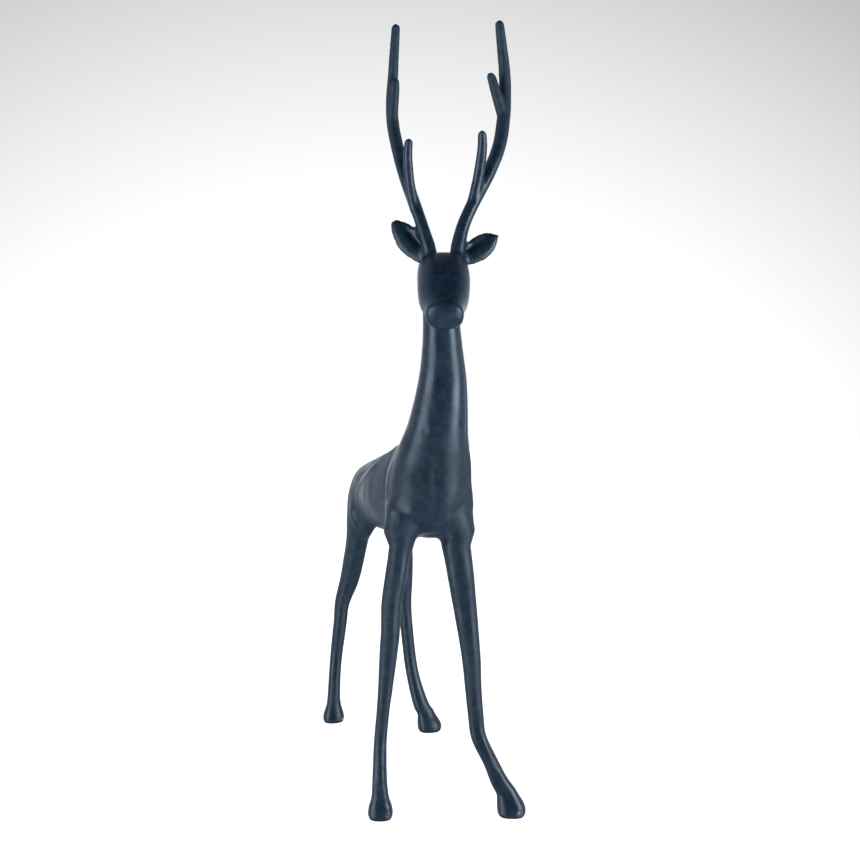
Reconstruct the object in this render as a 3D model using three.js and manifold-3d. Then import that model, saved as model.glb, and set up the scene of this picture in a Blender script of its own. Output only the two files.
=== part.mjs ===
// A tall, slender stag cast in iron as one piece. It stands on four splayed legs with its head up and its
// muzzle pitched down, under two tall, lightly branched antlers.
// Millimetres, +Z up. The stag faces -Y and its own left side is on +X. The origin is the centre of the
// bottom of its box, so its soles stand on Z = 0.

import * as THREE from 'three';
import { mergeVertices } from 'three/addons/utils/BufferGeometryUtils.js';
import Module from 'manifold-3d';

const wasm = await Module();
wasm.setup();

// ---- Driving dimensions ----

const BACK_LINE = 360; // height of the trunk's centre line at mid length
const TRUNK_WIDTH = 86; // across the barrel
const TRUNK_DEPTH = 106; // from back to belly at mid length
const POLL = { x: -4, y: -172 }; // where the skull sits on the neck, seen from above
const HEAD_TURN = THREE.MathUtils.degToRad(17.6); // how far the head looks to the stag's right
const ANTLER_ROOT = 628; // height where the antlers leave the skull
const HOOF_HEIGHT = 26; // from the sole to the narrow coronet
const FORE_HOOF = { across: 14.5, deep: 11 }; // half sizes of the widest ring of a hoof
const HIND_HOOF = { across: 16.5, deep: 12.5 };
const EAR_ROOT = 16; // from the middle of the head out to the root of an ear
const EAR_HEIGHT = 632;
const EAR_THICKNESS = 9;
const EAR_CUP_DEPTH = 4;

// How far each section is squared up from an ellipse, which is 2.
const SQUARENESS = { trunk: 2.3, neck: 2.5, head: 2.4, leg: 2.4 };

// How finely the surface is cut into facets.
const FACETS = { trunk: 24, head: 20, leg: 14, antler: 10, ear: 12, mass: 14 };
const RINGS_PER_STATION = 2;
const CAP_RINGS = 3;

const ACROSS_BODY = new THREE.Vector3(1, 0, 0);
const ACROSS_HEAD = new THREE.Vector3(Math.cos(HEAD_TURN), -Math.sin(HEAD_TURN), 0);
const FACE_FORWARD = new THREE.Vector3(-Math.sin(HEAD_TURN), -Math.cos(HEAD_TURN), 0);

const castIron = new THREE.MeshStandardMaterial({ color: 0x24303b, roughness: 0.42, metalness: 0.35 });

// ---- Solid making ----

// Turns a closed three.js geometry into a solid that can be joined and cut.
function toSolid(geometry) {
  const bare = geometry.clone();
  bare.deleteAttribute('normal');
  bare.deleteAttribute('uv');
  const merged = mergeVertices(bare);
  return new wasm.Manifold(new wasm.Mesh({
    numProp: 3,
    vertProperties: merged.attributes.position.array,
    triVerts: new Uint32Array(merged.index.array),
  }));
}

function toGeometry(solid) {
  const mesh = solid.getMesh();
  const geometry = new THREE.BufferGeometry();
  geometry.setAttribute('position', new THREE.BufferAttribute(mesh.vertProperties, 3));
  geometry.setIndex(new THREE.BufferAttribute(mesh.triVerts, 1));
  return geometry;
}

function joinAll(solids) {
  return solids.reduce((whole, solid) => whole.add(solid));
}

// A cosine or sine drawn out towards the corners of its section: 2 keeps an ellipse, more squares it up.
function squared(value, squareness) {
  return Math.sign(value) * Math.abs(value) ** (2 / squareness);
}

// A limb with round ends. Each station is [x, y, z, half width, half depth], and the sections between
// stations are superellipses along a smooth curve, with their width laid as near as it can be to `across`.
function limb(stations, { facets, across = ACROSS_BODY, squareness = 2, rootCap = 0.8, tipCap = 0.8 }) {
  const centres = stations.map(([x, y, z]) => new THREE.Vector3(x, y, z));
  const centreLine = new THREE.CatmullRomCurve3(centres, false, 'catmullrom');
  const girth = new THREE.SplineCurve(stations.map(([, , , width, depth]) => new THREE.Vector2(width, depth)));
  const bodyRings = RINGS_PER_STATION * (stations.length - 1);
  const rings = bodyRings + 2 * CAP_RINGS;
  const geometry = new THREE.SphereGeometry(1, facets, rings);
  const position = geometry.attributes.position;
  const point = new THREE.Vector3();

  for (let ring = 0; ring <= rings; ring += 1) {
    const along = THREE.MathUtils.clamp((ring - CAP_RINGS) / bodyRings, 0, 1);
    const tangent = centreLine.getTangent(along);
    const side = across.clone().addScaledVector(tangent, -across.dot(tangent)).normalize();
    const front = new THREE.Vector3().crossVectors(side, tangent);
    const { x: halfWidth, y: halfDepth } = girth.getPoint(along);

    // Within a cap the ring shrinks on a quarter circle and moves out past the end of the curve.
    const ringsFromEnd = Math.min(ring, rings - ring);
    const capTurn = (Math.PI / 2) * Math.min(1, ringsFromEnd / CAP_RINGS);
    const outward = ring < CAP_RINGS ? -rootCap : tipCap;
    const capReach = outward * Math.min(halfWidth, halfDepth) * Math.cos(capTurn);
    const centre = centreLine.getPoint(along).addScaledVector(tangent, capReach);

    for (let facet = 0; facet <= facets; facet += 1) {
      const turn = (2 * Math.PI * (facet % facets)) / facets;
      point.copy(centre)
        .addScaledVector(side, halfWidth * Math.sin(capTurn) * squared(Math.cos(turn), squareness))
        .addScaledVector(front, halfDepth * Math.sin(capTurn) * squared(Math.sin(turn), squareness));
      position.setXYZ(ring * (facets + 1) + facet, point.x, point.y, point.z);
    }
  }
  return toSolid(geometry);
}

// An egg-shaped swelling, such as a shoulder or a thigh.
function mass(centre, halfSizes, leanDegrees = 0) {
  const geometry = new THREE.SphereGeometry(1, FACETS.mass, FACETS.mass / 2);
  geometry.scale(...halfSizes);
  geometry.rotateX(THREE.MathUtils.degToRad(leanDegrees));
  geometry.translate(...centre);
  return toSolid(geometry);
}

// A place on the head, given across the face to the stag's left, forward along the face, and by height.
function onHead(left, forward, height) {
  return [
    POLL.x + ACROSS_HEAD.x * left + FACE_FORWARD.x * forward,
    POLL.y + ACROSS_HEAD.y * left + FACE_FORWARD.y * forward,
    height,
  ];
}

// ---- Trunk, neck and tail ----

function makeTrunk() {
  const w = TRUNK_WIDTH / 2;
  const d = TRUNK_DEPTH / 2;
  const barrel = limb([
    [1, 204, BACK_LINE - 6, 0.66 * w, 0.5 * d], // rump
    [1, 182, BACK_LINE - 8, 0.93 * w, 0.75 * d],
    [0, 140, BACK_LINE - 9, 1.04 * w, 0.9 * d], // hips
    [-1, 80, BACK_LINE - 5, w, d], // loins
    [-3, 20, BACK_LINE + 1, 0.98 * w, 1.05 * d],
    [-5, -40, BACK_LINE + 6, w, 1.12 * d],
    [-7, -90, BACK_LINE + 11, 1.05 * w, 1.1 * d], // girth
    [-9, -130, BACK_LINE + 14, 1.09 * w, 1.02 * d], // breast
  ], { facets: FACETS.trunk, squareness: SQUARENESS.trunk, tipCap: 0.9 });

  const thighs = [-25, 25].map((x) => mass([x, 156, 332], [20, 44, 54], 14));
  const shoulders = [-40, 27].map((x) => mass([x, -120, 352], [17.5, 34, 60], -12));
  const withers = mass([-8, -70, 408], [20, 52, 20], 8);
  const tail = limb([
    [1, 218, 372, 10, 8],
    [1, 230, 360, 9.5, 7],
    [1, 234, 342, 8, 6],
    [1, 232, 322, 4.5, 4],
  ], { facets: FACETS.antler });
  return joinAll([barrel, ...thighs, ...shoulders, withers, tail]);
}

function makeNeck() {
  return limb([
    [-8, -118, 346, 42, 46], // inside the chest
    [-8, -122, 374, 46, 48],
    [-6, -126, 404, 43, 46],
    [-3, -134, 434, 36.5, 40], // base of the neck
    [-1.5, -145, 466, 31.5, 34],
    [-1.5, -155, 500, 26.8, 29],
    [-4.5, -164, 532, 22.5, 26],
    [-7.5, -170, 562, 20.3, 25],
    [-10, -176, 592, 21, 24], // throat
  ], { facets: FACETS.trunk, squareness: SQUARENESS.neck });
}

// ---- Head, ears and antlers ----

function makeSkull() {
  return limb([
    [...onHead(0, -2, 618), 23, 20], // back of the skull
    [...onHead(-3, 12, 612), 28.5, 27], // brow
    [...onHead(-1.5, 34, 598), 28, 29], // cheeks
    [...onHead(-1.5, 54, 581), 25, 24],
    [...onHead(0, 70, 566), 19, 18], // muzzle
    [...onHead(0, 80, 556), 18.5, 16],
  ], { facets: FACETS.head, across: ACROSS_HEAD, squareness: SQUARENESS.head, tipCap: 0.45 });
}

// One ear: a leaf, thin from front to back, with a hollow pressed into its front.
function makeEar(side, length, rise, halfHeight) {
  const blade = (start, thickness, slimness) => {
    // Along the ear: how far out, how far up, how thick and how broad it is.
    const profile = [[0, 0, 1, 0.54], [0.26, 0.21, 1, 0.86], [0.55, 0.5, 1, 1], [0.82, 0.8, 0.9, 0.76], [1, 1, 0.6, 0.3]];
    const stations = profile.map(([out, up, thick, broad]) => [
      ...onHead(side * (start + out * (EAR_ROOT + length - start)), -8 - 6 * out, EAR_HEIGHT + up * rise),
      thick * thickness,
      broad * slimness * halfHeight,
    ]);
    return limb(stations, { facets: FACETS.ear, across: FACE_FORWARD });
  };
  const leaf = blade(EAR_ROOT, EAR_THICKNESS / 2, 1);
  const intoFront = FACE_FORWARD.clone().multiplyScalar(EAR_THICKNESS - EAR_CUP_DEPTH);
  const hollow = blade(EAR_ROOT + 7, EAR_THICKNESS / 2, 0.6).translate(intoFront.toArray());
  return leaf.subtract(hollow);
}

// A beam or a tine: stations of [left, forward, height, half thickness] on the head.
function antlerBranch(stations) {
  return limb(
    stations.map(([left, forward, height, radius]) => [...onHead(left, forward, height), radius, radius]),
    { facets: FACETS.antler, across: ACROSS_HEAD },
  );
}

function makeRightAntler() {
  const beam = antlerBranch([
    [-13, -2, ANTLER_ROOT, 8.5],
    [-25, -5, 668, 6.8],
    [-44, -14, 724, 6.5],
    [-53, -21, 756, 6.6],
    [-59.5, -26, 790, 6.3],
    [-61, -25, 820, 5.9],
    [-59, -20, 848, 5.2],
    [-55.5, -8, 893, 4.6],
  ]);
  const browTine = antlerBranch([
    [-34, -8, 688, 5.2],
    [-39, 0, 714, 5.2],
    [-40.5, 12, 738, 4.8],
    [-39.5, 20, 754, 4.3],
  ]);
  const upperTine = antlerBranch([
    [-61, -25, 800, 5],
    [-58, -16, 822, 4.8],
    [-56, -10, 835, 4.4],
  ]);
  return joinAll([beam, browTine, upperTine]);
}

function makeLeftAntler() {
  const beam = antlerBranch([
    [11, -2, ANTLER_ROOT, 9],
    [22, -5, 674, 7.2],
    [48.5, -14, 732, 7.2],
    [60.5, -20, 764, 7],
    [66.5, -26, 796, 7],
    [68.5, -28, 822, 6.6],
    [68, -24, 850, 6],
    [62, -8, 897, 4.5],
  ]);
  const browTine = antlerBranch([
    [30, -8, 692, 6],
    [37, 0, 722, 5.8],
    [41, 12, 748, 5.2],
    [41, 20, 763, 4.3],
  ]);
  const upperTine = antlerBranch([
    [66, -26, 802, 5.6],
    [59, -17, 822, 5.2],
    [54, -10, 839, 4.4],
  ]);
  return joinAll([beam, browTine, upperTine]);
}

// ---- Legs ----

// The stations of a hoof: it flares out of the pastern like a bell and draws in again to a flat sole.
// Its top leans back towards the pastern it hangs from.
function hoofStations(pastern, [x, y], { across, deep }) {
  const bell = [[1, 0.67, 0.4], [0.54, 0.9, 0.1], [0.28, 0.985, 0], [0.12, 1, 0], [0, 0.93, 0]];
  return bell.map(([height, flare, lean]) => [
    THREE.MathUtils.lerp(x, pastern[0], lean),
    THREE.MathUtils.lerp(y, pastern[1], lean),
    height * HOOF_HEIGHT,
    flare * across,
    flare * deep,
  ]);
}

function makeLeg(shaft, hoofCentre, hoof, stoutness = 1) {
  const size = { across: stoutness * hoof.across, deep: stoutness * hoof.deep };
  const stations = [...shaft, ...hoofStations(shaft.at(-1), hoofCentre, size)];
  return limb(stations, { facets: FACETS.leg, squareness: SQUARENESS.leg, tipCap: 0.3 });
}

function makeForelegs() {
  const right = makeLeg([
    [-40, -128, 352, 21, 27], // inside the shoulder
    [-44, -134, 328, 18.5, 22], // elbow
    [-47, -138, 305, 12.8, 17],
    [-52.6, -141, 275, 12, 15],
    [-58.4, -144, 245, 11.2, 13.5],
    [-60, -145.5, 215, 10.4, 12.6],
    [-62.6, -147, 190, 9.8, 12], // knee
    [-66.6, -148, 150, 7.9, 10],
    [-69, -147, 125, 6.9, 8.8],
    [-70.8, -142, 90, 7, 8.5],
    [-70.4, -137, 50, 7.9, 8.8], // fetlock
  ], [-68.2, -131.5], FORE_HOOF, 0.98);
  const left = makeLeg([
    [13, -132, 352, 24, 27],
    [17.5, -140, 325, 21.5, 22], // elbow
    [17.6, -148, 304, 16.6, 18],
    [21.3, -153, 272, 14.8, 15.5],
    [29.5, -162, 190, 10.8, 12],
    [31.7, -165, 150, 9.2, 10],
    [34.4, -166, 118, 8.6, 9],
    [38.6, -165, 92, 8.4, 8.8],
    [53, -165.5, 62, 8.2, 8.8],
    [63.5, -165.5, 40, 9.6, 9.6],
  ], [77.5, -167], FORE_HOOF, 1.12);
  return [right, left];
}

function makeHindLegs() {
  const right = makeLeg([
    [-22, 150, 350, 26, 38], // inside the thigh
    [-27, 160, 318, 21, 33],
    [-29.5, 172, 285, 16, 25], // stifle
    [-32.6, 186, 250, 14.6, 19],
    [-36.8, 200, 215, 13.9, 15],
    [-44.6, 208, 185, 11.2, 12.5], // hock
    [-47.5, 209, 170, 10, 11.5],
    [-49, 210, 150, 9.7, 10.5],
    [-56, 210, 90, 8.6, 9.5],
    [-58.2, 212, 44, 9, 10.2], // fetlock
  ], [-58.6, 212.5], HIND_HOOF, 0.96);
  const left = makeLeg([
    [26, 140, 350, 24, 38],
    [28, 140, 318, 20, 32],
    [29, 145, 285, 16.4, 24],
    [32, 150, 250, 15.2, 18],
    [35.6, 156, 215, 12.6, 15],
    [37.4, 158, 185, 10.2, 12],
    [39.6, 153, 150, 8.8, 10.5],
    [44.6, 143, 90, 8.8, 9.9],
    [55.5, 136, 43, 10.8, 11],
  ], [69, 132], HIND_HOOF, 1.06);
  return [right, left];
}

// ---- The casting ----

function makeStag() {
  const casting = joinAll([
    makeTrunk(),
    makeNeck(),
    makeSkull(),
    makeEar(-1, 41, 42, 14),
    makeEar(1, 41, 28, 13),
    makeRightAntler(),
    makeLeftAntler(),
    ...makeForelegs(),
    ...makeHindLegs(),
  ]);

  // The soles are ground flat: whatever hangs below the standing plane is cut away.
  const ground = new THREE.BoxGeometry(1000, 1000, 100).translate(0, 0, -50);
  const geometry = toGeometry(casting.subtract(toSolid(ground)));
  geometry.computeBoundingBox();
  const centre = geometry.boundingBox.getCenter(new THREE.Vector3());
  geometry.translate(-centre.x, -centre.y, -geometry.boundingBox.min.z);

  const stag = new THREE.Mesh(geometry, castIron);
  stag.name = 'stag';
  return stag;
}

const statue = new THREE.Group();
statue.add(makeStag());

export default statue;
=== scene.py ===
"""Looks of a tall, slender stag cast in iron as one piece, in satin blue-black lacquer.

The casting is modelled limb by limb from named stations in millimetres, joined into one skin, filleted
where the limbs meet, worked over with the dents and ridges of a hand-made pattern, and dressed in one
finish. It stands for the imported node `stag`, in the same frame.
"""

import logging
import math
from dataclasses import dataclass, field
from enum import Enum
from itertools import pairwise

import bpy
import numpy as np
from mathutils import Matrix, Vector


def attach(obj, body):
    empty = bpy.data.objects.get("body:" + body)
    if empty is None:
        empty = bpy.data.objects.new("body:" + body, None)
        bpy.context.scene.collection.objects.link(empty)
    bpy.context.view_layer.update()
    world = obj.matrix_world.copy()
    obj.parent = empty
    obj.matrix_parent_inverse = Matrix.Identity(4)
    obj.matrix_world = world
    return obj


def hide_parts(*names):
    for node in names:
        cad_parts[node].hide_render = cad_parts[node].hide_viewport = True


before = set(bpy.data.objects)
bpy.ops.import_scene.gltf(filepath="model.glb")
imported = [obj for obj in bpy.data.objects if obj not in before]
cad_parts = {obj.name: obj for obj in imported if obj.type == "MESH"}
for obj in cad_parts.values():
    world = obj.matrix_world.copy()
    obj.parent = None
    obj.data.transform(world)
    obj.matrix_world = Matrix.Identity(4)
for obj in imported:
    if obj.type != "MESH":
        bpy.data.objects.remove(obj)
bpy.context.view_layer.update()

log = logging.getLogger("stag")

MM = 0.001  # the script's sizes are millimetres, and Blender's are metres
LEAST_WEIGHT = 0.001  # lighter weights aren't worth storing

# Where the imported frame's origin lies in the pattern's own drawing, in which the stations are given.
DRAWING_ORIGIN = Vector((5.71, -10.96, 0.0))

POLL = Vector((-4.0, -172.0, 0.0))  # where the skull sits on the neck, seen from above
HEAD_TURN = math.radians(17.6)  # how far the head looks to the stag's right
HEAD_PITCH = math.radians(38.0)  # how far the face tips below level
ACROSS_BODY = Vector((1.0, 0.0, 0.0))
ACROSS_HEAD = Vector((math.cos(HEAD_TURN), -math.sin(HEAD_TURN), 0.0))
FACE_LEVEL = Vector((-math.sin(HEAD_TURN), -math.cos(HEAD_TURN), 0.0))
UP = Vector((0.0, 0.0, 1.0))
DOWN = -UP
FORWARD = Vector((0.0, -1.0, 0.0))

Piece = bpy.types.Object
Socket = bpy.types.NodeSocket
Tree = bpy.types.NodeTree
Place = tuple[float, float, float]
Station = tuple[float, float, float, float, float]  # a place on a limb, and its half width and half depth
HeadRow = tuple[float, float, float, float]  # left, forward, height and half thickness, on the head
Spot = tuple[float, float, float, float]  # a place on the skin and the radius of a mark there

# The first and last values that a Map Range node takes in, and what it makes of them.
SPAN = ("From Min", "From Max", "To Min", "To Max")


class Side(Enum):
    """A side of the stag, as the stag itself has it, with the sign of that side."""

    LEFT = 1
    RIGHT = -1


# ---- Small tools of the workshop ----


def deselect_all() -> None:
    """Clears the selection, so that the next operator acts only on what is chosen for it."""
    bpy.ops.object.select_all(action="DESELECT")


def choose(*pieces: Piece) -> None:
    """Selects these pieces alone and makes the first one active.

    Args:
        pieces: The objects to select.
    """
    deselect_all()
    for piece in pieces:
        piece.select_set(True)
    bpy.context.view_layer.objects.active = pieces[0]


def apply_modifier(piece: Piece, name: str, kind: str, **settings: object) -> None:
    """Adds a modifier to a piece, sets it up and applies it.

    Args:
        piece: The piece to change.
        name: The modifier's name, which says what it does.
        kind: Blender's modifier type.
        settings: The modifier's own settings.
    """
    choose(piece)
    modifier = piece.modifiers.new(name, kind)
    for key, value in settings.items():
        setattr(modifier, key, value)
    bpy.ops.object.modifier_apply(modifier=modifier.name)


def join(pieces: list[Piece], name: str) -> Piece:
    """Joins pieces into one object.

    Args:
        pieces: The pieces, of which the first one takes in the others.
        name: The joined object's name.

    Returns:
        The joined object.
    """
    choose(*pieces)
    bpy.ops.object.join()
    pieces[0].name = name
    return pieces[0]


def shader_node(
    tree: Tree, kind: str, settings: dict[str | int, object], links: dict[str | int, Socket]
) -> bpy.types.Node:
    """Adds a node to a tree with its settings and links.

    Args:
        tree: The material's or the world's node tree.
        kind: Blender's node type, without the "ShaderNode" in front.
        settings: Values by attribute name, or by the name or number of an input.
        links: Output sockets by the name or number of the input they feed.

    Returns:
        The node.
    """
    node = tree.nodes.new("ShaderNode" + kind)
    for key, value in settings.items():
        if isinstance(key, str) and hasattr(node, key):
            setattr(node, key, value)
        else:
            node.inputs[key].default_value = value
    for key, socket in links.items():
        tree.links.new(socket, node.inputs[key])
    return node


def linear(hex_code: str) -> tuple[float, float, float, float]:
    """Turns an sRGB colour into linear light.

    Args:
        hex_code: The colour as a hash sign and six hex digits.

    Returns:
        Linear red, green, blue and alpha.
    """
    shares = [int(hex_code[i : i + 2], 16) / 255 for i in (1, 3, 5)]
    values = [s / 12.92 if s <= 0.04045 else ((s + 0.055) / 1.055) ** 2.4 for s in shares]
    return (*values, 1.0)


def drawing_places(piece: Piece) -> np.ndarray:
    """Finds a piece's vertices in the pattern's drawing.

    Args:
        piece: The piece.

    Returns:
        One row for each vertex, in millimetres.
    """
    places = np.empty(len(piece.data.vertices) * 3)
    piece.data.vertices.foreach_get("co", places)
    return places.reshape(-1, 3) / MM + np.array(DRAWING_ORIGIN)


def weight_group(piece: Piece, name: str, weights: np.ndarray) -> str:
    """Stores weights on a piece as a vertex group.

    Args:
        piece: The piece.
        name: The group's name.
        weights: One weight for each vertex, from 0 to 1.

    Returns:
        The group's name.
    """
    group = piece.vertex_groups.new(name=name)
    for index in np.nonzero(weights > LEAST_WEIGHT)[0].tolist():
        group.add([index], float(weights[index]), "REPLACE")
    return group.name


def ramp(values: np.ndarray, start: float, end: float) -> np.ndarray:
    """Turns values into weights that run from 0 at `start` to 1 at `end` and stay there."""
    return np.clip((values - start) / (end - start), 0, 1)


def on_head(left: float, forward: float, height: float) -> Place:
    """Finds a place on the head.

    Args:
        left: How far towards the stag's left, in millimetres.
        forward: How far forward along the level line of the face.
        height: The height above the soles.

    Returns:
        The place in the pattern's drawing.
    """
    place = POLL + left * ACROSS_HEAD + forward * FACE_LEVEL
    return place.x, place.y, height


# ---- The finish ----


@dataclass(frozen=True)
class BlackLacquer:
    """Satin blue-black lacquer sprayed over rough cast iron.

    The lacquer levels out most of the sand's grain but not the hand-worked dents under it, so reflections
    run in long soft-edged bands that waver, with a faint grain, smudges and a few chips down to grey iron.
    """

    deep: str = "#0c1b29"
    pale: str = "#142838"
    smudge: str = "#1d2f3d"
    bare_iron: str = "#8b949b"
    sheen_tint: str = "#dce9f6"
    coat_ior: float = 1.5
    roughness: tuple[float, float] = (0.25, 0.38)
    grain_roughness: float = 0.05  # what the grain adds
    dry_roughness: float = 0.22  # and what the spray's dry places add
    grain: float = 1.7  # sand grain in millimetres, three times the real size so that it shows
    ripple: float = 7.0
    smudge_size: float = 38.0
    chips: tuple[Spot, ...] = (
        (81.5, -178.5, 6.5, 2.8),
        (-64.5, -142.0, 5.5, 2.0),
        (-46.0, 201.0, 5.0, 2.4),
    )
    dull_places: tuple[Spot, ...] = (
        (4.0, -160.0, 372.0, 58.0),  # breast
        (30.0, -158.0, 326.0, 32.0),  # elbows
        (-50.0, -155.0, 322.0, 26.0),
        (-46.0, -20.0, 370.0, 60.0),  # flank
        (-40.0, -145.0, 850.0, 85.0),  # upper antlers
        (55.0, -150.0, 850.0, 85.0),
    )
    thigh_height: tuple[float, float] = (295.0, 325.0)  # the shanks are dry from here down
    pastern_height: tuple[float, float] = (90.0, 112.0)  # to here
    shank_dryness: float = 0.8

    def spots(
        self,
        tree: Tree,
        where: Socket,
        places: tuple[Spot, ...],
        edge: tuple[float, float],
        ragged: Socket | None = None,
    ) -> Socket:
        """Marks round places on the skin.

        Args:
            tree: The material's node tree.
            where: The coordinates, in metres.
            places: The places to mark.
            edge: Where each mark starts to fade and where it is gone, in its own radii.
            ragged: A noise that breaks up the marks' edges, if they aren't smooth.

        Returns:
            The mask's socket.
        """
        mask = None
        for x, y, z, radius in places:
            centre = (Vector((x, y, z)) - DRAWING_ORIGIN) * MM
            from_centre = {"operation": "DISTANCE", 1: centre}
            away = shader_node(tree, "VectorMath", from_centre, {0: where}).outputs["Value"]
            if ragged is not None:
                waver = {"operation": "MULTIPLY_ADD", 1: radius * MM}
                away = shader_node(tree, "Math", waver, {0: ragged, 2: away}).outputs[0]
            fade = dict(zip(SPAN, (edge[0] * radius * MM, edge[1] * radius * MM, 1.0, 0.0)))
            near = shader_node(tree, "MapRange", fade, {"Value": away}).outputs["Result"]
            if mask is not None:
                near = shader_node(tree, "Math", {"operation": "MAXIMUM"}, {0: near, 1: mask}).outputs[0]
            mask = near
        return mask

    def dryness(self, tree: Tree, where: Socket) -> Socket:
        """Marks the places where the spray went on drier and duller: some round ones, and the shanks.

        Args:
            tree: The material's node tree.
            where: The coordinates, in metres.

        Returns:
            The mask's socket.
        """
        round_places = self.spots(tree, where, self.dull_places, (0.7, 1.15))
        height = shader_node(tree, "SeparateXYZ", {}, {"Vector": where}).outputs["Z"]
        top, bottom = self.thigh_height, self.pastern_height
        below = dict(zip(SPAN, (top[0] * MM, top[1] * MM, self.shank_dryness, 0.0)))
        above = dict(zip(SPAN, (bottom[0] * MM, bottom[1] * MM, 0.0, self.shank_dryness)))
        upper = shader_node(tree, "MapRange", below, {"Value": height}).outputs["Result"]
        lower = shader_node(tree, "MapRange", above, {"Value": height}).outputs["Result"]
        shanks = shader_node(tree, "Math", {"operation": "MINIMUM"}, {0: upper, 1: lower})
        both = {0: round_places, 1: shanks.outputs[0]}
        return shader_node(tree, "Math", {"operation": "MAXIMUM"}, both).outputs[0]

    def material(self) -> bpy.types.Material:
        """Mixes the lacquer.

        Returns:
            The material.
        """
        lacquer = bpy.data.materials.new("satin_lacquer_on_cast_iron")
        lacquer.use_nodes = True
        tree = lacquer.node_tree
        shader = tree.nodes["Principled BSDF"]
        shader.inputs["IOR"].default_value = self.coat_ior
        shader.inputs["Specular Tint"].default_value = linear(self.sheen_tint)
        where = shader_node(tree, "TexCoord", {}, {}).outputs["Object"]
        noises = []
        for size, detail in ((self.grain, 2.0), (self.ripple, 1.0), (self.smudge_size, 3.0)):
            pattern = {"Scale": 1 / (size * MM), "Detail": detail, "Roughness": 0.5}
            noises.append(shader_node(tree, "TexNoise", pattern, {"Vector": where}).outputs[0])
        grain, ripple, smudges = noises
        chipped = self.spots(tree, where, self.chips, (1.15, 1.5), grain)

        # Each coat over the deep one: what shows it, how that is stretched, and its colour.
        coats = [
            (ripple, (0.35, 0.65, 0.0, 1.0), self.pale),
            (smudges, (0.55, 0.75, 0.0, 0.6), self.smudge),
            (chipped, (0.0, 1.0, 0.0, 1.0), self.bare_iron),
        ]
        colour = None
        for value, ends, paint in coats:
            stretched = shader_node(tree, "MapRange", dict(zip(SPAN, ends)), {"Value": value})
            links = {0: stretched.outputs["Result"]}
            if colour is not None:
                links[6] = colour
            paints = {"data_type": "RGBA", 6: linear(self.deep), 7: linear(paint)}
            colour = shader_node(tree, "Mix", paints, links).outputs[2]
        tree.links.new(colour, shader.inputs["Base Color"])

        satin = dict(zip(SPAN, (0.35, 0.65, *self.roughness)))
        rough = shader_node(tree, "MapRange", satin, {"Value": smudges}).outputs["Result"]
        additions = [(grain, self.grain_roughness), (self.dryness(tree, where), self.dry_roughness)]
        for value, amount in additions:
            adding = {"operation": "MULTIPLY_ADD", 1: amount}
            rough = shader_node(tree, "Math", adding, {0: value, 2: rough}).outputs[0]
        tree.links.new(rough, shader.inputs["Roughness"])

        sand = {"Strength": 0.35, "Distance": 0.12 * MM}
        fine = shader_node(tree, "Bump", sand, {"Height": grain}).outputs[0]
        runs = {"Strength": 0.6, "Distance": 0.2 * MM}
        skin = shader_node(tree, "Bump", runs, {"Height": ripple, "Normal": fine}).outputs[0]
        tree.links.new(skin, shader.inputs["Normal"])
        return lacquer


# ---- Limbs ----


@dataclass
class Ring:
    """One section of a limb, in the limb's own axes."""

    centre: Vector
    width: float
    depth: float


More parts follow.
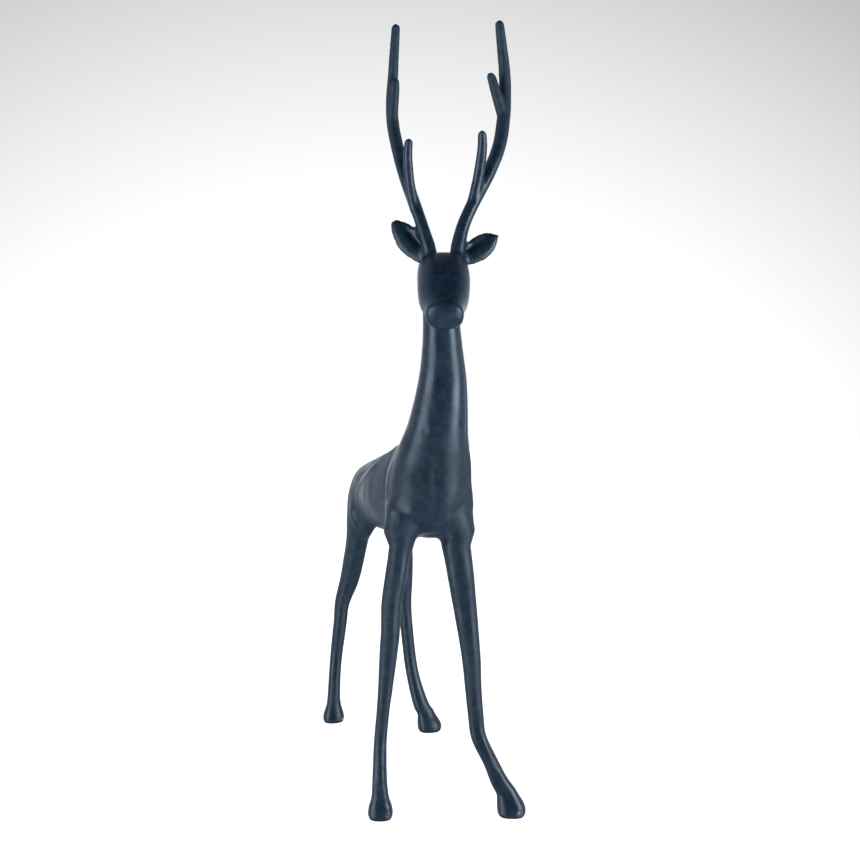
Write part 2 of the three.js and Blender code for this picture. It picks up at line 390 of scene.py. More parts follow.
@dataclass
class Limb:
    """A tapering limb with round ends, extruded ring by ring through its stations.

    The rings stay parallel, square to `along`, so a ring on a leaning stretch is widened to keep the limb
    as thick as its stations say.
    """

    name: str
    stations: list[Station]
    along: Vector = field(default_factory=lambda: DOWN.copy())
    across: Vector = field(default_factory=lambda: ACROSS_BODY.copy())
    squareness: float = 2.0  # the power of the section's curve: 2 is an ellipse
    sides: int = 16
    ring_gap: float = 3.5
    root_cap: float = 0.8  # how far an end bulges, as a share of its smaller half size
    tip_cap: float = 0.8
    cap_rings: int = 5
    cap_turn: float = 0.96 * math.pi / 2  # the caps stop just short of a point

    def axes(self) -> Matrix:
        """Finds how the limb lies.

        Returns:
            The turn from the limb's own axes, with +Z along it, to the drawing's.
        """
        along = self.along.normalized()
        side = (self.across - self.across.dot(along) * along).normalized()
        front = along.cross(side)
        return Matrix((side, front, along)).transposed()

    def body_rings(self) -> list[Ring]:
        """Lays rings between the caps, on a Catmull-Rom curve through the stations.

        Returns:
            The rings, from the root to the tip.
        """
        turn = self.axes().transposed()
        rows = np.array([[*(turn @ Vector(s[:3])), s[3], s[4]] for s in self.stations])
        padded = np.vstack([2 * rows[0] - rows[1], rows, 2 * rows[-1] - rows[-2]])
        points = []
        for before, start, end, after in zip(padded, padded[1:], padded[2:], padded[3:]):
            steps = max(2, math.ceil(float(np.linalg.norm(end[:3] - start[:3])) / self.ring_gap))
            for t in np.arange(steps) / steps:
                once = (end - before) * t
                twice = (2 * before - 5 * start + 4 * end - after) * t**2
                thrice = (3 * start - before - 3 * end + after) * t**3
                points.append(start + 0.5 * (once + twice + thrice))
        points.append(rows[-1])
        curve = np.array(points)
        lean = np.gradient(curve[:, :3], axis=0)
        lean_x = lean[:, 0] / lean[:, 2]
        lean_y = lean[:, 1] / lean[:, 2]
        widths = curve[:, 3] * np.sqrt(1 + lean_x**2)
        depths = curve[:, 4] * np.sqrt(1 + lean_y**2)
        return [Ring(Vector(row[:3]), w, d) for row, w, d in zip(curve, widths, depths)]

    def cap(self, end: Ring, heading: Vector, roundness: float) -> list[Ring]:
        """Closes an end with rings that shrink on a quarter circle.

        Args:
            end: The last ring of the body at that end.
            heading: Which way the cap bulges, one unit along the limb.
            roundness: How far it bulges, as a share of the ring's smaller half size.

        Returns:
            The cap's rings, from the body outwards.
        """
        reach = roundness * min(end.width, end.depth)
        rings = []
        for step in range(1, self.cap_rings + 1):
            turn = self.cap_turn * step / self.cap_rings
            centre = end.centre + heading * reach * math.sin(turn)
            rings.append(Ring(centre, end.width * math.cos(turn), end.depth * math.cos(turn)))
        return rings

    def rings(self) -> list[Ring]:
        """Lays every ring of the limb.

        Returns:
            The rings, from the root's cap to the tip's.
        """
        body = self.body_rings()
        slope = (body[-1].centre - body[-2].centre) / abs(body[-1].centre.z - body[-2].centre.z)
        root_slope = (body[0].centre - body[1].centre) / abs(body[1].centre.z - body[0].centre.z)
        root = self.cap(body[0], root_slope, self.root_cap)
        tip = self.cap(body[-1], slope, self.tip_cap)
        return root[::-1] + body + tip

    def square_up(self) -> None:
        """Draws the ring's corners out from a circle towards a square, one pair of angles at a time."""
        quarter = self.sides // 4
        for step in range(1, quarter // 2 + 1):
            angle = 2 * math.pi * step / self.sides
            power = self.squareness
            reach = (math.cos(angle) ** power + math.sin(angle) ** power) ** (-1 / power)
            bpy.ops.mesh.select_all(action="DESELECT")
            bpy.ops.object.mode_set(mode="OBJECT")
            for index, vertex in enumerate(bpy.context.object.data.vertices):
                place = round(math.atan2(vertex.co.y, vertex.co.x) / (2 * math.pi) * self.sides) % quarter
                vertex.select = place in (step, quarter - step)
            bpy.ops.object.mode_set(mode="EDIT")
            bpy.ops.transform.resize(value=(reach, reach, 1), center_override=(0, 0, 0))
        bpy.ops.mesh.select_all(action="SELECT")

    def model(self) -> Piece:
        """Models the limb and leaves it in the frame, in metres.

        Returns:
            The finished limb.
        """
        rings = self.rings()
        deselect_all()
        bpy.ops.mesh.primitive_circle_add(
            vertices=self.sides, radius=MM, fill_type="NGON", location=(0, 0, 0)
        )
        limb = bpy.context.object
        limb.name = self.name
        bpy.ops.object.mode_set(mode="EDIT")
        bpy.ops.mesh.select_all(action="SELECT")
        if self.squareness > 2:
            self.square_up()
        bpy.ops.transform.resize(value=(rings[0].width, rings[0].depth, 1), center_override=(0, 0, 0))
        bpy.ops.transform.translate(value=rings[0].centre * MM)
        for last, ring in pairwise(rings):
            step = (ring.centre - last.centre) * MM
            bpy.ops.mesh.extrude_region_move(TRANSFORM_OT_translate={"value": step})
            growth = (ring.width / last.width, ring.depth / last.depth, 1)
            bpy.ops.transform.resize(value=growth, center_override=ring.centre * MM)
        bpy.ops.mesh.select_all(action="SELECT")
        bpy.ops.mesh.normals_make_consistent(inside=False)
        bpy.ops.object.mode_set(mode="OBJECT")
        limb.matrix_world = Matrix.Translation(-DRAWING_ORIGIN * MM) @ self.axes().to_4x4()
        choose(limb)
        bpy.ops.object.transform_apply(location=True, rotation=True, scale=True)
        return limb


@dataclass
class Swelling:
    """An egg-shaped mass of muscle or bone under the skin."""

    name: str
    centre: Place
    half_sizes: Place
    lean: float = 0.0  # degrees, about the line across the stag
    segments: int = 40
    rings: int = 24

    def model(self) -> Piece:
        """Models the swelling from a sphere, stretched and leant over.

        Returns:
            The finished swelling.
        """
        deselect_all()
        bpy.ops.mesh.primitive_uv_sphere_add(
            segments=self.segments, ring_count=self.rings, radius=MM, location=(0, 0, 0)
        )
        swelling = bpy.context.object
        swelling.name = self.name
        bpy.ops.object.mode_set(mode="EDIT")
        bpy.ops.mesh.select_all(action="SELECT")
        bpy.ops.transform.resize(value=self.half_sizes, center_override=(0, 0, 0))
        bpy.ops.object.mode_set(mode="OBJECT")
        swelling.rotation_euler = (math.radians(self.lean), 0, 0)
        swelling.location = (Vector(self.centre) - DRAWING_ORIGIN) * MM
        bpy.ops.object.transform_apply(location=True, rotation=True, scale=True)
        return swelling


# ---- Parts of the stag ----


@dataclass
class Trunk:
    """The barrel of the body, with its shoulders, thighs, withers and tail."""

    back_line: float = 360.0
    half_width: float = 43.0
    half_depth: float = 53.0
    squareness: float = 2.3
    # How far left the middle of each side's thigh and shoulder lies.
    mass_places: tuple[tuple[Side, float, float], ...] = ((Side.RIGHT, -25, -40), (Side.LEFT, 25, 27))

    def barrel(self) -> Piece:
        """Models the trunk from the rump to the breast.

        Returns:
            The trunk without its masses.
        """
        line, w, d = self.back_line, self.half_width, self.half_depth
        stations = [
            (1, 204, line - 6, 0.66 * w, 0.5 * d),  # rump
            (1, 182, line - 8, 0.93 * w, 0.75 * d),
            (0, 140, line - 9, 1.04 * w, 0.9 * d),  # hips
            (-1, 80, line - 5, w, d),  # loins
            (-3, 20, line + 1, 0.98 * w, 1.05 * d),
            (-5, -40, line + 6, w, 1.12 * d),
            (-7, -90, line + 11, 1.05 * w, 1.1 * d),  # girth
            (-9, -130, line + 14, 1.09 * w, 1.02 * d),  # breast
        ]
        return Limb("barrel", stations, FORWARD, sides=48, squareness=self.squareness, tip_cap=0.9).model()

    def masses(self) -> list[Piece]:
        """Models the masses that swell under the skin of the trunk.

        Returns:
            The withers, thighs and shoulders.
        """
        swellings = [Swelling("withers", (-8, -70, 408), (20, 52, 20), 8)]
        for side, thigh, _ in self.mass_places:
            swellings.append(Swelling(f"{side.name.lower()}_thigh", (thigh, 156, 332), (20, 44, 54), 14))
        for side, _, shoulder in self.mass_places:
            centre = (shoulder, -120, 352)
            swellings.append(Swelling(f"{side.name.lower()}_shoulder", centre, (17.5, 34, 60), -12))
        return [swelling.model() for swelling in swellings]

    def tail(self) -> Piece:
        """Models the short tail that lies on the rump.

        Returns:
            The tail.
        """
        stations = [(1, 218, 372, 10, 8), (1, 230, 360, 9.5, 7), (1, 234, 342, 8, 6), (1, 232, 322, 4.5, 4)]
        return Limb("tail", stations).model()

    def model(self) -> list[Piece]:
        """Models the whole trunk and returns its pieces."""
        return [self.barrel(), *self.masses(), self.tail()]


@dataclass
class Neck:
    """The long neck, from inside the chest up to the throat, turned the way the head looks."""

    squareness: float = 2.35

    def model(self) -> list[Piece]:
        """Models the neck.

        Returns:
            The neck.
        """
        stations = [
            (-8, -118, 346, 42, 46),  # inside the chest
            (-8, -122, 374, 46, 48),
            (-6, -126, 404, 43, 46),
            (-3, -134, 434, 36.5, 40),  # base of the neck
            (-1.5, -145, 466, 31.5, 34),
            (-1.5, -155, 500, 26.8, 29),
            (-4.5, -164, 532, 22.5, 26),
            (-7.5, -170, 562, 20.3, 25),
            (-10, -176, 592, 21, 24),  # throat
        ]
        return [Limb("neck", stations, UP, ACROSS_HEAD, self.squareness, sides=48).model()]


@dataclass
class Head:
    """The smooth wedge of the skull, which ends in a blunt nose pad."""

    squareness: float = 2.9
    pad_squareness: float = 2.5

    def model(self) -> list[Piece]:
        """Models the skull from its back to the nose pad.

        Returns:
            The skull and the pad.
        """
        stations = [
            (*on_head(0, -6, 619), 24, 17),  # back of the skull
            (*on_head(-2, 9, 613), 27.5, 26),  # brow
            (*on_head(-1.5, 34, 597.5), 28, 28.5),  # cheeks
            (*on_head(-1.5, 54, 581), 26, 24.5),
            (*on_head(-1, 67, 569.5), 21.5, 18.5),  # muzzle
            (*on_head(-0.5, 75, 563.5), 19, 16.5),
        ]
        pad = [(*on_head(-0.5, 76, 563), 19.4, 15.6), (*on_head(-0.5, 83.5, 557), 20, 16.2)]
        along = math.cos(HEAD_PITCH) * FACE_LEVEL - math.sin(HEAD_PITCH) * UP
        lie = (along, ACROSS_HEAD)
        skull = Limb("skull", stations, *lie, self.squareness, sides=24, root_cap=0.5, tip_cap=0.3)
        nose = Limb("nose_pad", pad, *lie, self.pad_squareness, sides=24, root_cap=0.2, tip_cap=0.4)
        return [skull.model(), nose.model()]


@dataclass
class Ear:
    """A leaf-shaped ear, thin from front to back, with a hollow pressed into its front."""

    side: Side
    length: float  # how far its tip stands out sideways from its root
    rise: float  # and how far above it
    half_height: float
    tip_breadth: float = 0.3  # as a share of the greatest breadth
    root: float = 16.0
    root_height: float = 632.0
    root_back: float = 8.0  # how far behind the middle of the head it grows
    sweep: float = 6.0  # and how much further back its tip lies
    thickness: float = 9.0
    cup_depth: float = 6.0
    cup_lift: float = 0.42  # how far above the middle the hollow runs, as a share of the half height

    def blade(self, name: str, start: float, end: float, slimness: float) -> Piece:
        """Models one leaf shape along the ear.

        Args:
            name: The object's name.
            start: Where along the ear the leaf begins, from 0 at its root.
            end: Where it ends, up to 1 at the ear's tip.
            slimness: Its breadth as a share of the ear's.

        Returns:
            The leaf.
        """
        # Along the ear: how far out, how far up, how thick and how broad it is.
        profile = [
            (0, 0, 1, 0.56),
            (0.26, 0.21, 1, 0.82),
            (0.55, 0.5, 1, 1),
            (0.82, 0.8, 0.9, 0.76),
            (1, 1, 0.6, self.tip_breadth),
        ]
        stations = []
        for out, up, thick, broad in profile:
            out = start + out * (end - start)
            up = start + up * (end - start)
            left = self.side.value * (self.root + out * self.length)
            place = on_head(left, -self.root_back - self.sweep * out, self.root_height + up * self.rise)
            stations.append((*place, thick * self.thickness / 2, broad * slimness * self.half_height))
        along = self.side.value * self.length * ACROSS_HEAD + self.rise * UP
        return Limb(name, stations, along, FACE_LEVEL, sides=20).model()

    def model(self) -> list[Piece]:
        """Models the ear and presses its hollow in.

        Returns:
            The ear.
        """
        leaf = self.blade("ear", 0.0, 1.0, 1.0)
        hollow = self.blade("ear_hollow", 0.1, 0.82, 0.3)
        choose(hollow)
        forward = (self.thickness - self.cup_depth) * FACE_LEVEL
        bpy.ops.transform.translate(value=(forward + self.cup_lift * self.half_height * UP) * MM)
        apply_modifier(leaf, "press", "BOOLEAN", operation="DIFFERENCE", object=hollow, solver="EXACT")
        bpy.data.objects.remove(hollow)
        return [leaf]


@dataclass
class Antler:
    """One antler: a long beam with a brow tine in front and a short upper tine."""

    side: Side
    beam: list[HeadRow]
    brow_tine: list[HeadRow]
    upper_tine: list[HeadRow]

    def branch(self, name: str, rows: list[HeadRow]) -> Piece:
        """Models one round branch.

        Args:
            name: The branch's name.
            rows: Its stations on the head.

        Returns:
            The branch.
        """
        stations = [(*on_head(left, forward, height), half, half) for left, forward, height, half in rows]
        full_name = f"{self.side.name.lower()}_antler_{name}"
        return Limb(full_name, stations, UP, ACROSS_HEAD, sides=20).model()

    def model(self) -> list[Piece]:
        """Models the beam and its two tines and returns them."""
        branches = {"beam": self.beam, "brow_tine": self.brow_tine, "upper_tine": self.upper_tine}
        return [self.branch(name, rows) for name, rows in branches.items()]


@dataclass
class Leg:
    """One long leg on a bell-shaped hoof."""

    name: str
    shaft: list[Station]
    hoof_centre: tuple[float, float]
    stoutness: float  # the hoof's size as a share of its half sizes
    hoof_half_sizes: tuple[float, float]  # across and deep
    hoof_height: float = 26.0
    squareness: float = 2.4
    across: Vector = field(default_factory=lambda: ACROSS_BODY.copy())

    def hoof(self) -> list[Station]:
        """Lays out the hoof, which flares out of the pastern and draws in again to its sole.

        Returns:
            The hoof's stations, from its top to its sole.
        """
        # Height as a share of the hoof's, flare, and how far the ring leans back to the pastern.
        bell = [(1, 0.67, 0.4), (0.54, 0.9, 0.1), (0.28, 0.985, 0), (0.12, 0.97, 0), (0, 0.86, 0)]
        x, y = self.hoof_centre
        across, deep = (size * self.stoutness for size in self.hoof_half_sizes)
        pastern = self.shaft[-1]
        stations = []
        for share, flare, lean in bell:
            place = (x + lean * (pastern[0] - x), y + lean * (pastern[1] - y), share * self.hoof_height)
            stations.append((*place, flare * across, flare * deep))
        return stations

    def model(self) -> list[Piece]:
        """Models the leg down to just below the standing plane, where the casting is cut flat.

        Returns:
            The leg.
        """
        stations = self.shaft + self.hoof()
        return [Limb(self.name, stations, DOWN, self.across, self.squareness, tip_cap=0.3).model()]


def antlers() -> list[Antler]:
    """Lays out the stag's antlers.

    Returns:
        The right antler and the left one.
    """
    right = Antler(
        Side.RIGHT,
        beam=[
            (-13, -2, 628, 8.5),
            (-25, -5, 668, 6.9),
            (-44, -14, 724, 7.0),
            (-52.5, -21, 756, 7.2),
            (-59.5, -26, 790, 6.9),
            (-61, -25, 820, 6.4),
            (-59, -20, 848, 5.6),
            (-55.5, -8, 893, 4.8),
        ],
        brow_tine=[(-34, -8, 688, 5.4), (-39, 0, 714, 5.5), (-41, 12, 738, 5.1), (-40, 20, 755, 4.6)],
        upper_tine=[(-60, -24, 796, 5.6), (-57.5, -18, 820, 5.2), (-56, -13, 834, 4.4)],
    )
    left = Antler(
        Side.LEFT,
        beam=[
            (11, -2, 628, 9),
            (22, -5, 674, 7.2),
            (49.5, -14, 732, 7.6),
            (61.5, -20, 764, 7.5),
            (66.8, -26, 796, 7.5),
            (68.5, -28, 822, 7.1),
            (67.8, -24, 850, 6.4),
            (61.3, -8, 896, 5.0),
        ],
        brow_tine=[(30, -8, 692, 6), (37, 0, 722, 5.9), (40.7, 12, 748, 5.4), (40.6, 20, 763, 4.7)],
        upper_tine=[(66, -26, 800, 6.0), (58.5, -18, 821, 5.6), (52.4, -12, 839, 4.8)],
    )
    return [right, left]


def legs() -> list[Leg]:
    """Lays out the stag's legs.

    Returns:
        The fore right, fore left, hind right and hind left leg.
    """
    fore_right = [
        (-40, -128, 352, 21, 27),  # inside the shoulder
        (-44, -134, 328, 18.5, 22),  # elbow
        (-47, -138, 305, 12.8, 17),
        (-52.6, -141, 275, 12, 15),
        (-58.4, -144, 245, 11.2, 13.5),
        (-60, -145.5, 215, 10.4, 12.6),
        (-62.6, -147, 190, 9.8, 12),  # knee
        (-66.6, -148, 150, 7.9, 10),
        (-69, -147, 125, 6.9, 8.8),
        (-70.8, -142, 90, 7, 8.5),
        (-70.4, -137, 50, 7.9, 8.8),  # fetlock
    ]
    fore_left = [
        (13, -132, 352, 24, 27),
        (17.5, -140, 325, 21.5, 22),  # elbow
        (17.6, -148, 304, 16.6, 18),
        (21.3, -153, 272, 14.8, 15.5),
        (29.5, -162, 190, 10.8, 12),
        (31.7, -165, 150, 9.2, 10),
        (34.4, -166, 118, 8.6, 9),
        (38.6, -165, 92, 8.4, 8.8),
        (53, -165.5, 62, 8.2, 8.8),
        (63.5, -165.5, 40, 9.6, 9.6),
    ]
    hind_right = [
        (-22, 150, 350, 26, 38),  # inside the thigh
        (-27, 160, 318, 21, 33),
        (-29.5, 172, 285, 16, 25),  # stifle
        (-32.6, 186, 250, 14.6, 19),
        (-36.8, 200, 215, 13.9, 15),
        (-44.6, 208, 185, 11.2, 12.5),  # hock
        (-47.5, 209, 170, 10, 11.5),
        (-49, 210, 150, 9.7, 10.5),
        (-56, 210, 90, 8.6, 9.5),
        (-58.2, 212, 44, 9, 10.2),  # fetlock
    ]
    hind_left = [
        (26, 140, 350, 24, 38),
        (28, 140, 318, 20, 32),
        (29, 145, 285, 16.4, 24),
        (32, 150, 250, 15.2, 18),
        (35.6, 156, 215, 12.6, 15),
        (37.4, 158, 185, 10.2, 12),
        (39.6, 153, 150, 8.8, 10.5),
        (44.6, 143, 90, 8.8, 9.9),
        (55.5, 136, 43, 10.8, 11),
    ]
    fore = {"hoof_half_sizes": (14.5, 12.5), "squareness": 2.7, "across": ACROSS_HEAD}
    hind = {"hoof_half_sizes": (16.5, 14.2)}
    return [
        Leg("fore_right_leg", fore_right, (-68.2, -131.5), 0.98, **fore),
        Leg("fore_left_leg", fore_left, (77.5, -167), 1.12, **fore),
        Leg("hind_right_leg", hind_right, (-58.6, 212.5), 0.96, **hind),
        Leg("hind_left_leg", hind_left, (69, 132), 1.06, **hind),
    ]


# ---- The skin of the casting ----


@dataclass
class Dab:
    """A soft round swell or hollow in the skin. A negative height is a hollow."""

    centre: Place
    reach: Place
    height: float
    fall: float = 2.5  # how steeply it falls away
    rim: float = 1.6  # where it ends, in reaches

    def lift(self, places: np.ndarray) -> np.ndarray:
        """Works out how far this dab lifts each place, in millimetres.

        Args:
            places: Vertex places in the drawing, one row each.

        Returns:
            The lift along the skin's normal.
        """
        away = np.linalg.norm((places - np.array(self.centre)) / np.array(self.reach), axis=1)
        return self.height * np.exp(-self.fall * away**2) * (away < self.rim)


@dataclass
class Stroke:
    """A ridge or a crease drawn along a line through the skin. A negative height is a crease."""

    line: list[Place]
    half_width: float
    height: float
    fall: float = 2.0  # how steeply its sides fall away
    end_share: float = 0.02  # how much of the line each end leaves out of the fade

    def lift(self, places: np.ndarray) -> np.ndarray:
        """Works out how far this stroke lifts each place, in millimetres.

        Args:
            places: Vertex places in the drawing, one row each.

        Returns:
            The lift along the skin's normal, which fades towards both ends of the line.
        """
        points = np.array(self.line, float)
        lengths = np.linalg.norm(np.diff(points, axis=0), axis=1)
        total = lengths.sum()
        nearest = np.full(len(places), np.inf)
        fade = np.zeros(len(places))
        done = 0.0
        for start, end, length in zip(points, points[1:], lengths):
            t = np.clip((places - start) @ (end - start) / length**2, 0, 1)
            away = np.linalg.norm(places - (start + t[:, None] * (end - start)), axis=1)
            closer = away < nearest
            nearest[closer] = away[closer]
            share = (done + t * length) / total
            inside = np.clip(share, self.end_share, 1 - self.end_share)
            fade[closer] = np.sin(np.pi * inside)[closer] ** 0.5
            done += length
        return self.height * fade * np.exp(-self.fall * (nearest / self.half_width) ** 2)


def relief() -> list[Dab | Stroke]:
    """Lays out the swells, hollows, ridges and creases that the pattern's maker left in the skin.

    Returns:
        The marks, each placed in the drawing.
    """
    tendon = [(8, -188, 545), (15, -183, 525), (20, -175, 500)]
    tendon += [(23, -169, 470), (25, -163, 440), (24, -160, 405)]
    shoulder_edge = [(-40, -131, 434), (-47, -117, 412), (-52, -112, 395)]
    shoulder_edge += [(-56, -112, 372), (-58, -112, 345)]
    behind_shoulder = [(-42, -80, 412), (-45, -80, 390), (-47, -80, 368), (-47, -82, 340)]
    flank_fold = [(-47, 100, 352), (-47, 112, 334), (-42, 117, 318), (-32, 112, 308), (-16, 108, 299)]
    neck = [
        Stroke(tendon, 3.5, -1.0),
        Dab((-26, -167, 441), (6, 8, 9), -0.8),
        Dab((-42, -138, 427), (10, 16, 16), 1.2),
        Dab((-33, -88, 432), (19, 30, 16), 9.0),
    ]
    chest = [
        Dab((-42, -156, 380), (16, 18, 34), 1.6),
        Dab((-50, -152, 338), (5, 8, 9), 1.4),
        Dab((-33, -159, 342), (5, 8, 7), 1.0),
        Dab((-36, -156, 352), (12, 12, 13), 4.2),
        Dab((-14, -168, 392), (9, 14, 50), -2.0),
        Dab((2, -168, 368), (28, 18, 40), 3.0),
        Dab((33, -146, 392), (15, 16, 42), 3.0),
        Dab((30, -160, 352), (14, 12, 16), 1.2),
        Dab((34, -148, 346), (12, 24, 8), -2.4),
        Dab((36, -148, 326), (14, 24, 12), 2.2),
        Dab((33, -150, 308), (14, 22, 6), -1.2),
        Dab((-61, -134, 326), (14, 24, 12), 2.0),
        Dab((-59, -138, 309), (12, 22, 6), -1.0),
        Dab((-2, -146, 319), (12, 34, 12), -4.5),
        Dab((-16, -144, 315), (16, 50, 12), -4.5),
        Dab((20, -166, 330), (13, 10, 22), -1.0),
    ]
    shoulder = [
        Stroke(shoulder_edge, 12, 1.4),
        Stroke(behind_shoulder, 11, -3.0),
    ]
    back = [
        Dab((-34, -58, 416), (22, 16, 14), 2.2),
        Dab((-34, 16, 404), (22, 14, 14), -2.6),
        Dab((-36, 60, 396), (22, 26, 16), 1.4),
        Stroke([(-34, 5, 402), (-39, 35, 390), (-43, 75, 374), (-45, 110, 358)], 5, 1.5),
        Stroke([(-30, 12, 410), (-35, 45, 399), (-39, 85, 384), (-41, 115, 368)], 6, -1.4),
        Stroke(flank_fold, 6, -3.2),
        Dab((-42, 136, 320), (11, 12, 25), 5.2),
        Dab((-46, 20, 366), (20, 30, 26), -0.6),
        Dab((-30, -55, 304), (26, 42, 14), 2.6),
        Dab((-46, 70, 352), (18, 20, 22), 1.2),
    ]
    shanks = [
        Stroke([(-57, -153, 302), (-60, -156, 252), (-63, -158, 207)], 4, 0.8),
        Stroke([(-74, -150, 92), (-71.5, -147, 62), (-70, -143, 34)], 3.5, 0.9),
        Stroke([(28, -168, 290), (27, -171, 240), (28, -174, 190), (31, -174, 120)], 4, 0.7),
        Stroke([(40, -174, 94), (46, -174, 76), (54, -174, 52)], 4, 1.3),
        Stroke([(-45, 192, 205), (-51, 199, 150)], 5, 0.6),
    ]
    hooves = [
        Dab((82, -180, 6), (5, 5, 4), -1.6),
        Dab((-64, -143, 6), (5, 4, 4), -1.2),
        Dab((-45, 201, 5), (4, 5, 4), 3.5),
    ]
    return neck + chest + shoulder + back + shanks + hooves


@dataclass
class Casting:
    """The whole stag as one skin of iron."""

    name: str = "stag_casting"
    voxel: float = 2.1
    worn_off: float = 0.4  # what the smoothing takes off the skin
    fillet_rim: float = 1.5  # where a fillet ends, in reaches
    relax: float = 0.5  # how far one round of smoothing moves the skin
    # Each layer of unevenness: its name, how wide its features are and how high.
    unevenness: tuple[tuple[str, float, float], ...] = (("hand_waves", 36.0, 0.3), ("hand_marks", 9.0, 0.2))

    def fillets(self, places: np.ndarray) -> np.ndarray:
        """Weighs how much each place is filleted: most where limbs meet, and not on thin limbs.

        Args:
            places: Vertex places in the drawing, one row each.

        Returns:
            One weight for each place, from 0 to 1.
        """
        meetings = [
            ((-24, -136, 314), 27, 1.0),  # right forearm into the chest
            ((6, -140, 314), 27, 1.0),
            ((-10, -120, 312), 30, 1.0),  # arch between the forelegs
            ((-44, -150, 352), 30, 1.0),  # points of the shoulders
            ((30, -152, 346), 26, 1.0),
            ((-8, -110, 410), 62, 1.0),  # neck into the chest and back
            ((-5, -60, 405), 50, 1.0),
            ((-26, 150, 320), 52, 1.0),  # thighs
            ((26, 145, 320), 52, 1.0),
            ((0, 190, 350), 60, 1.0),
            ((0, 60, 355), 80, 1.0),
            (on_head(0, 2, 600), 26, 0.6),  # throat and skull
            (on_head(-15, -1, 633), 11, 1.0),  # antler roots into the forehead
            (on_head(14, -1, 633), 11, 1.0),
            (on_head(-42, -11, 658), 22, 0.16),  # rims of the ears
            (on_head(43, -11, 648), 24, 0.24),
        ]
        weights = np.zeros(len(places))
        for centre, reach, strength in meetings:
            away = np.linalg.norm(places - np.array(centre), axis=1) / reach
            weights = np.maximum(weights, strength * np.clip(self.fillet_rim - away, 0, 1))
        return weights

    def thickness(self, places: np.ndarray) -> np.ndarray:
        """Marks the trunk, neck and head, whose skin can take more smoothing than thin limbs."""
        x, _, z = places.T
        return ramp(z, 300, 330) * ramp(z, 622, 602) * ramp(np.abs(x), 60, 52)

    def barrel(self, places: np.ndarray) -> np.ndarray:
        """Marks the long plain sides of the body, which have to be the smoothest."""
        _, y, z = places.T
        return ramp(y, -92, -72) * ramp(y, 205, 175) * ramp(z, 300, 320) * ramp(z, 440, 420)

    def flatten_soles(self, casting: Piece) -> None:
        """Cuts the hooves off level, so that the stag stands on flat soles.

        Args:
            casting: The skin, which is changed.
        """
        choose(casting)
        bpy.ops.object.mode_set(mode="EDIT")
        bpy.ops.mesh.select_all(action="SELECT")
        bpy.ops.mesh.bisect(plane_co=(0, 0, 0), plane_no=(0, 0, 1), use_fill=True, clear_inner=True)
        bpy.ops.object.mode_set(mode="OBJECT")

    def sculpt(self, casting: Piece) -> None:
        """Raises and sinks the skin where the relief says.

        Args:
            casting: The skin, which is changed.
        """
        places = drawing_places(casting)
        lift = sum(mark.lift(places) for mark in relief())
        for name, sign in (("raised", 1), ("sunk", -1)):
            part = np.maximum(sign * lift, 0)
            most = float(part.max())
            group = weight_group(casting, name, part / most)
            height = sign * most * MM
            apply_modifier(casting, name, "DISPLACE", strength=height, mid_level=0.0, vertex_group=group)

    def roughen(self, casting: Piece) -> None:
        """Gives the skin the slight unevenness of a pattern shaped by hand.

        Args:
            casting: The skin, which is changed.
        """
        for name, size, height in self.unevenness:
            waves = bpy.data.textures.new(name, "CLOUDS")
            waves.noise_scale = size * MM
            waves.noise_depth = 1
            how = {"texture": waves, "texture_coords": "GLOBAL", "strength": height * MM, "mid_level": 0.5}
            apply_modifier(casting, name, "DISPLACE", **how)

    def model(self, limbs: list[Piece]) -> Piece:
        """Models the finished casting.

        Args:
            limbs: Every limb and swelling.

        Returns:
            The casting.
        """
        casting = join(limbs, self.name)
        apply_modifier(casting, "one_skin", "REMESH", mode="VOXEL", voxel_size=self.voxel * MM)
        passes = [
            ("fillets", self.fillets, 90),
            ("even_out", self.thickness, 16),
            ("plane_down", self.barrel, 160),
        ]
        for name, weigh, times in passes:
            group = weight_group(casting, name, weigh(drawing_places(casting)))
            apply_modifier(casting, name, "SMOOTH", factor=self.relax, iterations=times, vertex_group=group)
        apply_modifier(casting, "settle", "SMOOTH", factor=self.relax, iterations=2)
        self.sculpt(casting)
        self.roughen(casting)
        apply_modifier(casting, "soften", "SMOOTH", factor=self.relax, iterations=1)
        apply_modifier(casting, "make_good", "DISPLACE", strength=self.worn_off * MM, mid_level=0.0)
        casting.vertex_groups.clear()
        self.flatten_soles(casting)
        choose(casting)
        bpy.ops.object.shade_smooth()
        return casting

    def dress(self, casting: Piece, finish: BlackLacquer) -> None:
        """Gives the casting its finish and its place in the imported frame.

        Args:
            casting: The finished skin.
            finish: What it is coated with.
        """
        casting.data.materials.clear()
        casting.data.materials.append(finish.material())
        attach(casting, "root")
        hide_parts("stag")


# ---- Studio ----


@dataclass
class SoftBox:
    """A tall soft light beside the object."""

    name: str
    turn: float  # degrees from the camera's side of the object, to the right as the camera sees it
    width: float  # metres
    height: float
    centre_height: float
    distance: float
    radiance: float
    tint: str = "#ffffff"

    def hang(self, heading: Vector) -> None:
        """Hangs the light so that it faces the middle of the object.

        Args:
            heading: The level way from the object to the light.
        """
        place = heading * self.distance
        place.z = self.centre_height
        deselect_all()
        bpy.ops.object.light_add(type="AREA", location=place)
        lamp = bpy.context.object
        lamp.name = self.name
        lamp.data.shape = "RECTANGLE"
        lamp.data.size = self.width
        lamp.data.size_y = self.height
        lamp.data.energy = self.radiance * math.pi * self.width * self.height
        lamp.data.color = linear(self.tint)[:3]
        lamp.rotation_euler = (math.pi / 2, 0, math.atan2(place.x, -place.y))


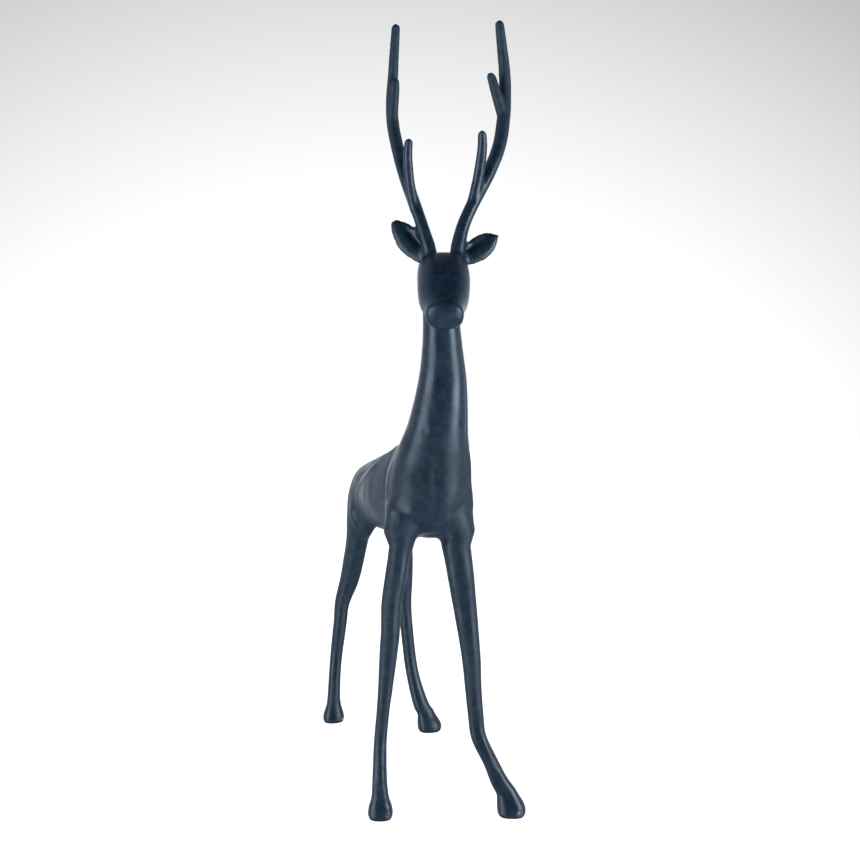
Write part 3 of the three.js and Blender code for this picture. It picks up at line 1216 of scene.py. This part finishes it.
@dataclass
class Studio:
    """A white studio with soft side lights and a level camera."""

    camera_place: Place = (-302.0, -1107.0, 441.0)
    camera_turn: float = math.radians(16.7)  # to the stag's right of straight ahead
    focal_px: float = 880.0
    frame_px: float = 860.0
    sensor: float = 36.0
    dim: float = 0.06  # what the darkest side of the room still gives
    air: str = "#e4edf8"
    floor_white: str = "#fafafa"
    floor_size: float = 40.0
    soft_boxes: tuple[SoftBox, ...] = (
        SoftBox("left_window", -54.0, 1.4, 1.2, 0.32, 2.0, 5.4, "#eef4fb"),
        SoftBox("left_window_foot", -54.0, 1.4, 1.3, -0.95, 2.0, 4.0, "#eef4fb"),
        SoftBox("right_window", 60.0, 1.1, 1.14, 0.35, 2.0, 9.5, "#f2f6fb"),
        SoftBox("right_window_foot", 60.0, 1.1, 1.0, -1.05, 2.0, 5.5, "#f2f6fb"),
    )

    def camera(self) -> None:
        """Sets up the level camera."""
        place = (Vector(self.camera_place) - DRAWING_ORIGIN) * MM
        bpy.ops.object.camera_add(location=place, rotation=(math.pi / 2, 0, -self.camera_turn))
        camera = bpy.context.object
        camera.data.sensor_width = self.sensor
        camera.data.lens = self.sensor * self.focal_px / self.frame_px
        bpy.context.scene.camera = camera

    def floor(self) -> None:
        """Lays the pale floor."""
        deselect_all()
        bpy.ops.mesh.primitive_plane_add(size=self.floor_size, location=(0, 0, 0))
        floor = bpy.context.object
        floor.name = "floor"
        material = bpy.data.materials.new("white_floor")
        material.use_nodes = True
        shader = material.node_tree.nodes["Principled BSDF"]
        shader.inputs["Base Color"].default_value = linear(self.floor_white)
        shader.inputs["Roughness"].default_value = 0.6
        shader.inputs["Emission Color"].default_value = (1, 1, 1, 1)
        shader.inputs["Emission Strength"].default_value = 1.0
        floor.data.materials.append(material)
        floor.visible_glossy = False

    def world(self) -> None:
        """Makes the room: a bright backdrop behind the object and a dim room round it."""
        world = bpy.data.worlds.new("studio")
        bpy.context.scene.world = world
        world.use_nodes = True
        tree = world.node_tree
        aim = shader_node(tree, "TexCoord", {}, {}).outputs["Generated"]
        # Each pale patch of the room: the way it lies, where it starts and ends, and how bright it is.
        patches = [
            (self.bearing(180.0), 0.8, 0.94, 1.25),  # backdrop behind the object
            (self.bearing(-115.0), 0.1, 0.85, 0.6),  # wall on the left
            (self.bearing(116.0), 0.4, 0.9, 0.6),  # wall on the right
            (DOWN, 0.0, 0.5, 0.3),  # floor
        ]
        glow = None
        for heading, start, end, brightness in patches:
            along = {"operation": "DOT_PRODUCT", 1: heading}
            facing = shader_node(tree, "VectorMath", along, {0: aim}).outputs["Value"]
            edge = dict(zip(SPAN, (start, end, 0.0, brightness)))
            patch = shader_node(tree, "MapRange", edge, {"Value": facing}).outputs["Result"]
            if glow is not None:
                patch = shader_node(tree, "Math", {"operation": "MAXIMUM"}, {0: patch, 1: glow}).outputs[0]
            glow = patch
        adding = {"operation": "ADD", 1: self.dim}
        whole = shader_node(tree, "Math", adding, {0: glow}).outputs[0]
        room = shader_node(tree, "Background", {"Color": linear(self.air)}, {"Strength": whole})
        # The backdrop that the camera sees darkens towards the top and the sides, most on the right.
        middle = {"operation": "DOT_PRODUCT", 1: 3.0 * self.bearing(183.0) - UP}
        low = shader_node(tree, "VectorMath", middle, {0: aim}).outputs["Value"]
        fall = dict(zip(SPAN, (1.95, 2.6, 0.5, 1.0)))
        seen = shader_node(tree, "MapRange", fall, {"Value": low}).outputs["Result"]
        white = {"Color": (1, 1, 1, 1)}
        backdrop = shader_node(tree, "Background", white, {"Strength": seen})
        rays = shader_node(tree, "LightPath", {}, {})
        both = {0: rays.outputs["Is Camera Ray"], 1: room.outputs[0], 2: backdrop.outputs[0]}
        mixed = shader_node(tree, "MixShader", {}, both)
        tree.links.new(mixed.outputs[0], tree.nodes["World Output"].inputs["Surface"])

    def bearing(self, turn: float) -> Vector:
        """Finds a level direction from the object.

        Args:
            turn: Degrees from the camera's side of the object, to the right as the camera sees it.

        Returns:
            The direction, one unit long.
        """
        angle = self.camera_turn - math.radians(turn)
        return Vector((-math.sin(angle), -math.cos(angle), 0))

    def build(self) -> None:
        """Builds the whole studio."""
        bpy.context.scene.view_settings.view_transform = "Standard"
        self.camera()
        self.floor()
        self.world()
        for box in self.soft_boxes:
            box.hang(self.bearing(box.turn))


def main() -> None:
    """Builds the stag and its studio and reports each piece."""
    logging.basicConfig(level=logging.INFO, format="%(name)s: %(message)s")
    log.info("packed nodes: %s", ", ".join(sorted(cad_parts)))
    limbs: list[Piece] = []
    ears = [
        Ear(Side.RIGHT, 42, 43.5, 15.8, tip_breadth=0.34),
        Ear(Side.LEFT, 43, 28.5, 15, tip_breadth=0.18),
    ]
    for part in [Trunk(), Neck(), Head(), *ears, *antlers(), *legs()]:
        limbs += part.model()
        log.info("%s modelled", type(part).__name__)
    maker = Casting()
    casting = maker.model(limbs)
    maker.dress(casting, BlackLacquer())
    log.info("casting: %d triangles", sum(len(p.vertices) - 2 for p in casting.data.polygons))
    Studio().build()
    log.info("studio set")


if __name__ == "__main__":
    main()
